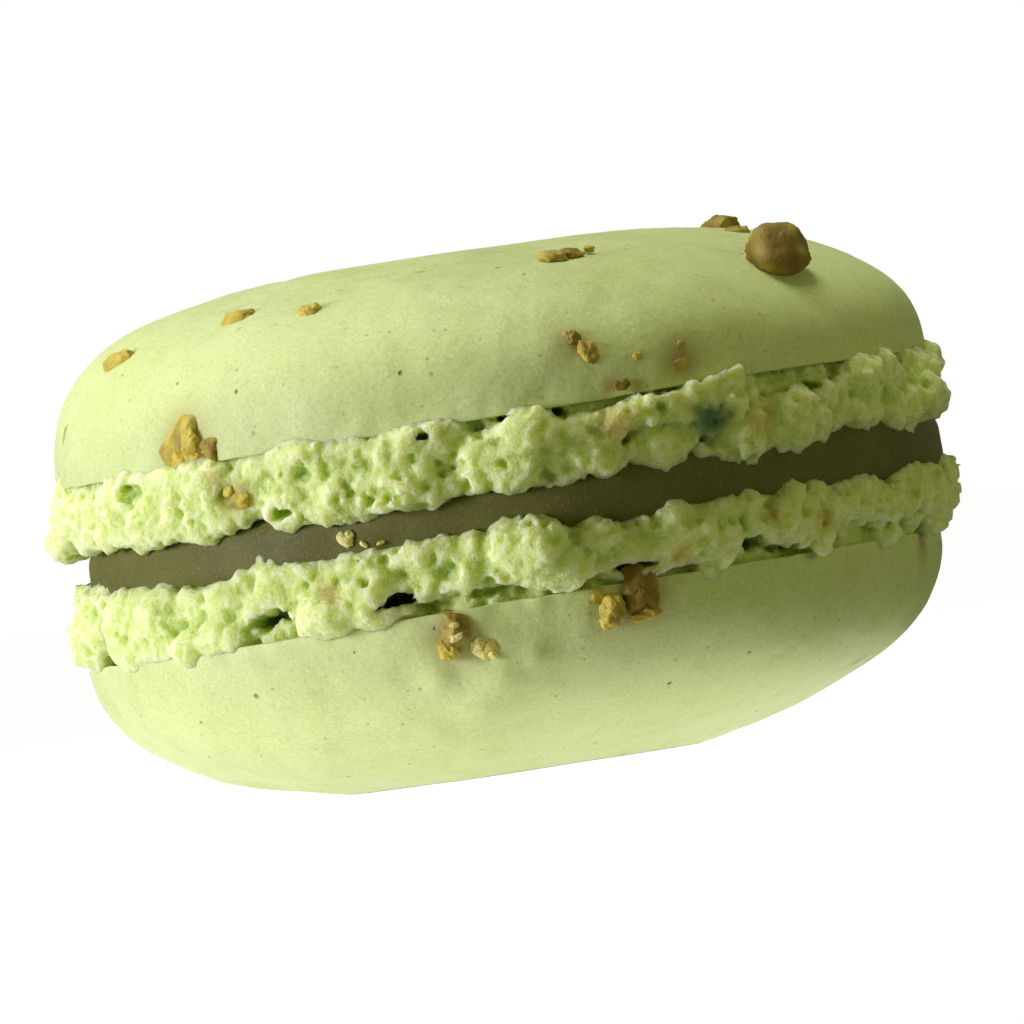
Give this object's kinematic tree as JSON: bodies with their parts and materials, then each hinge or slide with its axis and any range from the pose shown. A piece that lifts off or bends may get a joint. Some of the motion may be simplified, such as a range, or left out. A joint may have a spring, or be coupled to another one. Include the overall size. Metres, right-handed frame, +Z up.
{
  "type": "french macaron",
  "caption": "Round sandwich biscuit: two domed almond shells with ruffled feet and a disc of ganache between them.",
  "frame": {"origin": "on the surface the macaron lies on, under the middle of its outline", "axes": "+Z up through the stack, +X to the right and +Y to the back as the side in the reference picture is faced"},
  "size_m": [0.0454, 0.046, 0.026],
  "materials": {
    "upper_shell": "matt baked almond meringue, pale pistachio green",
    "lower_shell": "matt baked almond meringue, pale pistachio green",
    "filling": "satin pistachio ganache, olive brown"
  },
  "bodies": {
    "root": {"shell_upper": "upper_shell", "shell_lower": "lower_shell", "filling": "filling"}
  },
  "joints": []
}
